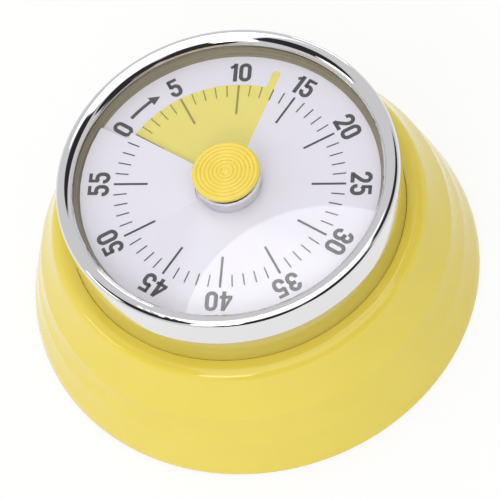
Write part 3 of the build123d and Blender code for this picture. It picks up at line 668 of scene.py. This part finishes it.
class Digit(Enum):
    """The figures of the dial, as pen strokes 3.7 mm high."""

    ZERO = (Stroke((1.8, 1.06), 90, (Run(1.58), Turn(0.74, 180), Run(1.58), Turn(0.74, 180))),)
    ONE = (
        Stroke((1.2, 0.0), 90, (Run(3.7),)),
        Stroke((1.3, 3.38), 212, (Run(1.15),), 0.56),
    )
    TWO = (
        Stroke((0.32, 2.42), 90, (Run(0.22), Turn(0.74, -180), Turn(1.6, -38), Run(1.5))),
        Stroke((0.08, 0.3), 0, (Run(2.04),)),
    )
    THREE = (
        Stroke((0.32, 2.45), 90, (Run(0.19), Turn(0.74, -180), Turn(0.62, -90), Run(0.5))),
        Stroke((0.7, 2.0), 0, (Run(0.4), Turn(0.7, -90), Run(0.24), Turn(0.74, -180), Run(0.2))),
    )
    FOUR = (
        Stroke((1.44, 0.0), 90, (Run(3.7),)),
        Stroke((1.36, 3.5), 244, (Run(2.6),), 0.56),
        Stroke((0.0, 1.08), 0, (Run(2.16),), 0.58),
    )
    FIVE = (
        Stroke((0.3, 3.4), 0, (Run(1.68),), 0.6),
        Stroke((0.5, 3.7), 270, (Run(1.75),), 0.58),
        Stroke(
            (0.42, 1.98),
            45,
            (Turn(0.9, -45), Turn(0.744, -90), Run(0.44), Turn(0.74, -180), Run(0.16)),
        ),
    )

    @property
    def width(self) -> float:
        """Room that the figure takes along a line, in mm."""
        return NARROW_FIGURE if self is Digit.ONE else WIDE_FIGURE


DIGITS = list(Digit)


class Tick(Enum):
    """The two kinds of tick: length and width in mm."""

    MINUTE = (2.3, 0.23)
    FIVE = (5.9, 0.4)


@dataclass
class DialPrint:
    """The dial's ticks, numbers and arrow, printed on the disc and on its raised lip.

    Sizes are in mm. The zero's shift and minutes, the arrow's start, neck and tip, and the lip's run and
    gap are in minutes round the dial.
    """

    surface: float = 30.4
    clearance: float = 0.006
    ink: float = 0.015
    tick_outer: float = 20.0
    number_radius: float = 22.6
    number_height: float = 3.7
    digit_gap: float = 0.32
    number_step: int = 5
    zero_shift: float = 0.1
    arrow_radius: float = 22.75
    arrow_start: float = 1.05
    arrow_neck: float = 3.0
    arrow_tip: float = 3.77
    arrow_width: float = 0.62
    arrow_head: float = 2.0
    arrow_lean: float = 1 / 3
    arrow_steps: int = 8
    lip_run: float = 10.0
    lip_gap: float = 0.12
    lip_rise: float = 0.9
    zero_radius: float = 20.5
    zero_minutes: float = 0.72

    def build(self) -> None:
        """Prints the whole dial."""
        material = INK.make()
        whole = range(0, int(HOUR))
        fives = [minute for minute in whole if minute % self.number_step == 0]
        others = [minute for minute in whole if minute % self.number_step]
        pieces = [
            self.ticks("five_minute_ticks", Tick.FIVE, [minute or self.zero_shift for minute in fives]),
            self.ticks("minute_ticks", Tick.MINUTE, others),
            self.numbers(fives),
            self.arrow(),
        ]
        for piece in pieces:
            self.lay(piece)
            piece.data.materials.append(material)
            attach(piece, "case")
            LOG.info("%s: %s", piece.name, INK.name)

    def ticks(self, name: str, kind: Tick, minutes: Iterable[float]) -> bpy.types.Object:
        """Prints one kind of tick round the dial.

        Args:
            name: Name of the piece.
            kind: Which tick.
            minutes: Where the ticks stand.

        Returns:
            The ticks as one flat piece.
        """
        length, width = kind.value
        pattern = start_piece(name)
        add_nib(pattern, Vector((0.0, self.tick_outer - length, 0.0)) * MM, 90, width * MM)
        bpy.ops.mesh.extrude_region_move(TRANSFORM_OT_translate={"value": (0.0, length * MM, 0.0)})
        close_flat(pattern)
        copies = [copy_turned(pattern, -MINUTE * minute) for minute in minutes]
        bpy.data.objects.remove(pattern)
        return join(copies, name)

    def numbers(self, minutes: Iterable[int]) -> bpy.types.Object:
        """Prints the numbers, with their tops outwards.

        Args:
            minutes: The numbers.

        Returns:
            The numbers as one flat piece.
        """
        labels = []
        for minute in minutes:
            digits = [DIGITS[int(figure)] for figure in str(minute)]
            across = sum(digit.width for digit in digits) + self.digit_gap * (len(digits) - 1)
            label = start_piece(f"number_{minute}")
            shift = -across / 2
            for digit in digits:
                for stroke in digit.value:
                    stroke.draw(label, shift)
                shift += digit.width + self.digit_gap
            close_flat(label)
            base = self.number_radius - self.number_height / 2
            label.data.transform(Matrix.Translation((0.0, base * MM, 0.0)))
            label.data.transform(Matrix.Rotation(-radians(MINUTE * minute), 4, "Z"))
            labels.append(label)
        return join(labels, "numbers")

    def arrow(self) -> bpy.types.Object:
        """Prints the arrow that shows which way to wind.

        Returns:
            The arrow as a flat piece.
        """
        piece = start_piece("winding_arrow")
        heading = -MINUTE * self.arrow_start
        start = Matrix.Rotation(radians(heading), 3, "Z") @ Vector((0.0, self.arrow_radius, 0.0))
        add_nib(piece, start * MM, heading, self.arrow_width * MM)
        sweep = MINUTE * (self.arrow_neck - self.arrow_start)
        bpy.ops.mesh.spin(
            steps=self.arrow_steps, angle=radians(sweep), center=(0.0, 0.0, 0.0), axis=(0.0, 0.0, 1.0)
        )
        turn = Matrix.Rotation(-radians(MINUTE * self.arrow_neck), 3, "Z")
        neck = turn @ Vector((0.0, self.arrow_radius, 0.0)) * MM
        bpy.ops.mesh.extrude_region_move()
        wide = self.arrow_head / self.arrow_width
        bpy.ops.transform.resize(value=(wide, wide, 1.0), center_override=neck)
        tip = Matrix.Rotation(-radians(MINUTE * self.arrow_tip), 3, "Z")
        point = tip @ Vector((0.0, self.arrow_radius - self.arrow_width * self.arrow_lean, 0.0)) * MM
        bpy.ops.mesh.extrude_region_move(TRANSFORM_OT_translate={"value": point - neck})
        bpy.ops.mesh.merge(type="CENTER")
        close_flat(piece)
        return piece

    def lay(self, piece: bpy.types.Object) -> None:
        """Gives the print its thickness and lays it on the disc and the lip.

        Args:
            piece: The flat print at height 0.
        """
        thicken(piece, self.ink * MM)
        for vertex in piece.data.vertices:
            x, y, _ = vertex.co
            vertex.co.z += (self.surface + self.clearance + self.lift(x, y)) * MM

    def lift(self, x: float, y: float) -> float:
        """Height of the dial over its flat part.

        Args:
            x: Place in metres.
            y: Place in metres.

        Returns:
            The height in mm.
        """
        minute = minute_of(x, y)
        beside_zero = hypot(x, y) > self.zero_radius * MM and minute > -self.zero_minutes
        if minute < -self.lip_run or minute > -self.lip_gap or beside_zero:
            return 0.0
        return self.lip_rise * (minute + self.lip_run) / (self.lip_run - self.lip_gap)


@dataclass
class TimeFilm:
    """The yellow film that shows the time left, and the rest of it under the dial.

    Sizes are in mm, the minutes are round the dial, and the fan's step is in degrees.
    """

    rest_minutes: float = 13.0
    set_minutes: float = 59.0
    inner: float = 2.3
    tail_inner: float = 6.1
    outer: float = 20.0
    bottom: float = 30.5
    thickness: float = 0.1
    slit_minutes: float = 2.0
    drop: float = 1.1
    tab_length: float = 3.5
    tab_width: float = 1.4
    tab_round: float = 0.6
    tab_segments: int = 5
    fan_step: float = 2.0
    flat_minutes: float = 0.2
    tail_bottom: float = 29.39
    lip_minutes: float = 51.0
    lip_start: float = 28.1
    lip_end: float = 29.7
    flat_anchor: float = 30.57
    flat_keep: float = 0.05
    lip_anchor: float = 33.0
    lip_keep: float = 0.5

    def build(self) -> None:
        """Builds the film that shows, and what waits under the dial."""
        material = FILM_YELLOW.make()
        film = self.shown()
        flat = self.waiting(
            "film_under_dial", self.flat_minutes, self.lip_minutes, (self.tail_bottom, self.tail_bottom)
        )
        last = self.waiting(
            "film_under_lip", self.lip_minutes, self.set_minutes, (self.lip_start, self.lip_end)
        )
        for piece in (film, flat, last):
            piece.data.materials.append(material)
            LOG.info("%s: %s", piece.name, FILM_YELLOW.name)
        self.stretch(film)
        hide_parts("time_film")
        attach(flat, "case")
        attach(last, "case")
        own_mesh(flat)
        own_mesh(last)

    def fan(self, piece: bpy.types.Object, inner: float, start: float, end: float) -> None:
        """Draws a sector of film from one minute to an earlier one.

        Args:
            piece: The piece in edit mode.
            inner: Inner radius in mm.
            start: Minute that it starts at.
            end: Minute that it ends at.
        """
        middle = (inner + self.outer) / 2
        heading = 180 - MINUTE * start
        at = Matrix.Rotation(-radians(MINUTE * start), 3, "Z") @ Vector((0.0, middle, 0.0))
        add_nib(piece, at * MM, heading, (self.outer - inner) * MM)
        sweep = MINUTE * (start - end)
        bpy.ops.mesh.spin(
            steps=round(sweep / self.fan_step),
            angle=-radians(sweep),
            center=(0.0, 0.0, 0.0),
            axis=(0.0, 0.0, 1.0),
        )

    def tab(self, piece: bpy.types.Object, minute: float) -> None:
        """Draws the pointer tab, with round outer corners, before one minute.

        Args:
            piece: The piece in edit mode.
            minute: Minute of the tab's leading edge.
        """
        turn = Matrix.Rotation(-radians(MINUTE * minute), 3, "Z")
        start = turn @ Vector((-self.tab_width / 2, self.outer, 0.0)) * MM
        add_nib(piece, start, 90 - MINUTE * minute, self.tab_width * MM)
        step = turn @ Vector((0.0, self.tab_length, 0.0)) * MM
        bpy.ops.mesh.extrude_region_move(TRANSFORM_OT_translate={"value": step})
        bpy.ops.mesh.bevel(offset=self.tab_round * MM, segments=self.tab_segments, affect="VERTICES")

    def shown(self) -> bpy.types.Object:
        """Builds the sector that shows, its tab, and the part that dives into the slit.

        Returns:
            The film.
        """
        film = start_piece("film_shown")
        self.fan(film, self.inner, self.rest_minutes, 0.0)
        self.fan(film, self.tail_inner, 0.0, -self.slit_minutes)
        self.tab(film, self.rest_minutes)
        close_flat(film)
        thicken(film, self.thickness * MM)
        for vertex in film.data.vertices:
            down = min(max(-minute_of(vertex.co.x, vertex.co.y) / self.slit_minutes, 0.0), 1.0)
            vertex.co.z += (self.bottom - self.drop * down) * MM
        return film

    def stretch(self, film: bpy.types.Object) -> None:
        """Bakes the film's place into its mesh.

        Args:
            film: The film that shows.
        """
        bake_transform(film)

    def waiting(
        self, name: str, start: float, end: float, bottoms: tuple[float, float]
    ) -> bpy.types.Object:
        """Builds a part of the film that waits under the dial and comes out when the knob is wound.

        Args:
            name: Name of the piece.
            start: Minute that it starts at.
            end: Minute that it ends at.
            bottoms: Heights of its underside at both, in mm.

        Returns:
            The piece.
        """
        piece = start_piece(name)
        self.fan(piece, self.tail_inner, end, start)
        if end == self.set_minutes:
            self.tab(piece, end)
        close_flat(piece)
        thicken(piece, self.thickness * MM)
        for vertex in piece.data.vertices:
            share = (minute_of(vertex.co.x, vertex.co.y) % HOUR - start) / (end - start)
            share = min(max(share, 0.0), 1.0)
            vertex.co.z += (bottoms[0] + share * (bottoms[1] - bottoms[0])) * MM
        return piece


@dataclass
class Dressed:
    """A sub-assembly that keeps its CAD shapes and gets its finishes here."""

    finishes: tuple[tuple[Finish, tuple[str, ...]], ...] = ()

    def build(self) -> None:
        """Dresses every node."""
        for finish, nodes in self.finishes:
            dress(finish, nodes)


@dataclass
class Case(Dressed):
    """Shell, neck, bezel, lens, dial and underside: the pieces that stand still."""

    finishes: tuple[tuple[Finish, tuple[str, ...]], ...] = (
        (SHELL_ABS, ("base_shell", "bottom_cover")),
        (NECK_ABS_PAINTED_SHADE, ("neck_housing",)),
        # Neck: the shell's yellow darkened to olive as painted shade
        (CHROME, ("bezel",)),
        (CLEAR, ("lens",)),
        (DIAL_WHITE, ("dial",)),
        # Rehaut ring: olive as painted shade, its lines as painted highlights
        (REHAUT_PAINTED_SHADE, ("rehaut_ring",)),
        (RUBBER, ("foot_ring",)),
        (FERRITE, ("magnet",)),
    )


@dataclass
class Movement(Dressed):
    """Knob, clockwork, bell and every screw."""

    finishes: tuple[tuple[Finish, tuple[str, ...]], ...] = (
        (KNOB_ABS, ("knob",)),
        (CHROME, ("knob_collar",)),
        (BRASS, ("front_plate", "rear_plate", "main_wheel", "balance_bar", "hammer_head")),
        (ACETAL, ("film_hub", "second_wheel", "third_wheel", "escape_wheel", "pallet_lever", "strike_cam")),
        (SPRING, ("mainspring",)),
        (NICKEL, ("bell",)),
        (
            TURNED_STEEL,
            (
                "cover_screws",
                "movement_screws",
                "pillar_screws",
                "plate_pillars",
                "spring_post",
                "bell_post",
                "bell_screw",
                "main_arbor",
                "ratchet_wheel",
                "click_pawl",
                "second_arbor",
                "third_arbor",
                "escape_arbor",
                "verge_staff",
                "hammer_arbor",
                "hammer_arm",
                "trip_lever",
            ),
        ),
    )


class LampShape(Enum):
    """The two shapes of lamp, as Blender calls them."""

    ROUND = "ELLIPSE"
    STRIP = "RECTANGLE"

    def area(self, width: float, height: float) -> float:
        """Area of a lamp of this shape."""
        return width * height * (pi / 4 if self is LampShape.ROUND else 1.0)


@dataclass(frozen=True)
class Lamp:
    """A soft lamp that faces the dial. Sizes in metres, angles in degrees.

    Args:
        name: Its name.
        shape: Its shape.
        turn: Where it stands round the dial, from +X towards +Y.
        height: Its height over the horizon.
        size: Its width and its height.
        radiance: How bright it looks.
    """

    name: str
    shape: LampShape
    turn: float
    height: float
    size: tuple[float, float]
    radiance: float

    def hang(self, target: Vector, distance: float) -> None:
        """Hangs the lamp.

        Args:
            target: What it faces.
            distance: How far away it hangs.
        """
        glow = bpy.data.lights.new(self.name, "AREA")
        glow.shape = self.shape.value
        glow.size, glow.size_y = self.size
        glow.energy = self.radiance * pi * self.shape.area(*self.size)
        lamp = bpy.data.objects.new(self.name, glow)
        away = bearing(self.turn, self.height)
        lamp.matrix_world = Matrix.Translation(target + away * distance) @ (
            away.to_track_quat("Z", "Y").to_matrix().to_4x4()
        )
        bpy.context.collection.objects.link(lamp)


@dataclass(frozen=True)
class Patch:
    """A round patch of the room's walls. Angles in degrees.

    Args:
        turn: Its direction round the dial, from +X towards +Y.
        height: Its height over the horizon.
        inner: Angle from its middle where its soft edge starts.
        outer: Angle from its middle where its soft edge ends.
    """

    turn: float
    height: float
    inner: float
    outer: float

    def draw(self, tree: bpy.types.NodeTree) -> bpy.types.NodeSocket:
        """Draws the patch.

        Args:
            tree: The world's nodes.

        Returns:
            1 inside the patch and 0 outside.
        """
        look = add_node(tree, "ShaderNodeTexCoord").outputs["Generated"]
        way = bearing(self.turn, self.height)
        along = add_node(tree, "ShaderNodeVectorMath", {0: look, 1: way}, operation="DOT_PRODUCT")
        inside = add_node(
            tree,
            "ShaderNodeMapRange",
            {
                "Value": along.outputs["Value"],
                "From Min": cos(radians(self.outer)),
                "From Max": cos(radians(self.inner)),
            },
            interpolation_type="SMOOTHSTEP",
        )
        return inside.outputs[0]


@dataclass
class Studio:
    """A white floor, soft lamps and a pale room. Sizes in metres, angles in degrees.

    Args:
        room_light: Light on matt surfaces from the room's dim and bright parts.
        room_bright: The bright parts.
        room_seen: Brightness of the room in reflections.
        panel: Brightness of the white panel above.
        panel_edges: The panel is where all of these overlap.
        dark: Brightness of the dark places, which show in reflections alone.
        backdrop: Brightness behind the floor, where 1 is white.
    """

    floor_size: float = 3.0
    floor_sides: int = 96
    floor_drop: float = 0.0001
    lamps: tuple[Lamp, ...] = (
        Lamp("overhead_lamp", LampShape.ROUND, 35.3, 73.4, (0.244, 0.244), 1.55),
        Lamp("front_lamp", LampShape.STRIP, -160.0, 38.0, (0.24, 0.15), 4.2),
        Lamp("left_lamp", LampShape.STRIP, 138.0, 28.0, (0.20, 0.14), 2.0),
        Lamp("right_lamp", LampShape.STRIP, 23.0, 15.0, (0.16, 0.10), 2.0),
    )
    lamp_distance: float = 0.608
    room_light: tuple[float, float] = (0.37, 0.82)
    room_bright: tuple[Patch, ...] = (Patch(-170.0, 25.0, 10.0, 110.0), Patch(65.0, 18.0, 15.0, 75.0))
    room_seen: float = 0.74
    panel: float = 1.52
    panel_edges: tuple[Patch, ...] = (
        Patch(-172.8, 22.1, 89.0, 91.0),
        Patch(-64.5, 15.4, 89.0, 91.0),
        Patch(0.0, 90.0, 40.0, 44.0),
    )
    dark: float = 0.03
    dark_places: tuple[Patch, ...] = (
        Patch(155.0, 48.0, 22.0, 27.0),
        Patch(-30.0, 45.0, 20.0, 25.0),
        Patch(-90.0, 22.0, 22.0, 26.0),
        Patch(-135.0, 22.0, 22.0, 26.0),
    )
    backdrop: float = 1.0
    pixels: float = 500.0
    sensor: float = 36.0
    focal_pixels: float = 3166.82
    azimuth: float = -41.104
    elevation: float = 58.949
    roll: float = -16.6627
    distance: float = 0.5391
    offset: tuple[float, float] = (-0.003434, 0.010977)
    target: tuple[float, float, float] = (0.0, 0.0, 0.0304)

    def build(self) -> None:
        """Sets up floor, light and camera."""
        self.floor()
        for lamp in self.lamps:
            lamp.hang(Vector(self.target), self.lamp_distance)
        self.world()
        self.camera()
        bpy.context.scene.view_settings.view_transform = "Standard"

    def floor(self) -> None:
        """Lays the floor."""
        bpy.ops.object.select_all(action="DESELECT")
        bpy.ops.mesh.primitive_circle_add(
            vertices=self.floor_sides,
            radius=self.floor_size,
            fill_type="NGON",
            location=(0.0, 0.0, -self.floor_drop),
        )
        floor = bpy.context.object
        floor.name = "floor"
        floor.data.materials.append(BOARD.make())

    def world(self) -> None:
        """Lights the room and draws what shows of it in reflections."""
        world = bpy.data.worlds.new("room")
        bpy.context.scene.world = world
        world.use_nodes = True
        tree = world.node_tree
        tree.nodes.clear()
        light, bright = self.room_light
        for place in self.room_bright:
            blend = {FACTOR: place.draw(tree), NUMBER_A: light, NUMBER_B: bright}
            light = add_node(tree, "ShaderNodeMix", blend).outputs[0]
        seen = self.room_seen
        for place in self.dark_places:
            blend = {FACTOR: place.draw(tree), NUMBER_A: seen, NUMBER_B: self.dark}
            seen = add_node(tree, "ShaderNodeMix", blend).outputs[0]
        blend = {FACTOR: seen_share(tree), NUMBER_A: light, NUMBER_B: seen}
        level = add_node(tree, "ShaderNodeMix", blend).outputs[0]
        inside = 1.0
        for edge in self.panel_edges:
            within = {0: edge.draw(tree), 1: inside}
            inside = add_node(tree, "ShaderNodeMath", within, operation="MULTIPLY").outputs[0]
        blend = {FACTOR: inside, NUMBER_A: level, NUMBER_B: self.panel}
        level = add_node(tree, "ShaderNodeMix", blend).outputs[0]
        sight = add_node(tree, "ShaderNodeLightPath").outputs["Is Camera Ray"]
        blend = {FACTOR: sight, NUMBER_A: level, NUMBER_B: self.backdrop}
        level = add_node(tree, "ShaderNodeMix", blend).outputs[0]
        back = add_node(tree, "ShaderNodeBackground", {"Strength": level, "Color": WHITE})
        add_node(tree, "ShaderNodeOutputWorld", {"Surface": back.outputs[0]})

    def camera(self) -> None:
        """Sets the camera at the photograph's angle."""
        azimuth, elevation, roll = (radians(a) for a in (self.azimuth, self.elevation, self.roll))
        back = Vector((sin(azimuth) * cos(elevation), -cos(azimuth) * cos(elevation), sin(elevation)))
        right = Vector((cos(azimuth), sin(azimuth), 0.0))
        up = back.cross(right)
        x_axis = cos(roll) * right + sin(roll) * up
        y_axis = cos(roll) * up - sin(roll) * right
        turn = Matrix((x_axis, y_axis, back)).transposed()
        away = turn @ Vector((self.offset[0], self.offset[1], -self.distance))
        lens = bpy.data.cameras.new("camera")
        lens.sensor_width = self.sensor
        lens.lens = self.focal_pixels * self.sensor / self.pixels
        camera = bpy.data.objects.new("camera", lens)
        camera.matrix_world = Matrix.Translation(Vector(self.target) - away) @ turn.to_4x4()
        bpy.context.collection.objects.link(camera)
        bpy.context.scene.camera = camera


@dataclass
class Timer:
    """The whole timer in its studio."""

    case: Case = field(default_factory=Case)
    movement: Movement = field(default_factory=Movement)
    dial_print: DialPrint = field(default_factory=DialPrint)
    film: TimeFilm = field(default_factory=TimeFilm)
    studio: Studio = field(default_factory=Studio)

    def build(self) -> None:
        """Builds every sub-assembly in order."""
        for part in (self.case, self.movement, self.dial_print, self.film, self.studio):
            part.build()
            LOG.info("%s built", type(part).__name__)


def main() -> None:
    """Builds the timer."""
    logging.basicConfig(level=logging.INFO, format="%(name)s: %(message)s")
    Timer().build()


if __name__ == "__main__":
    main()
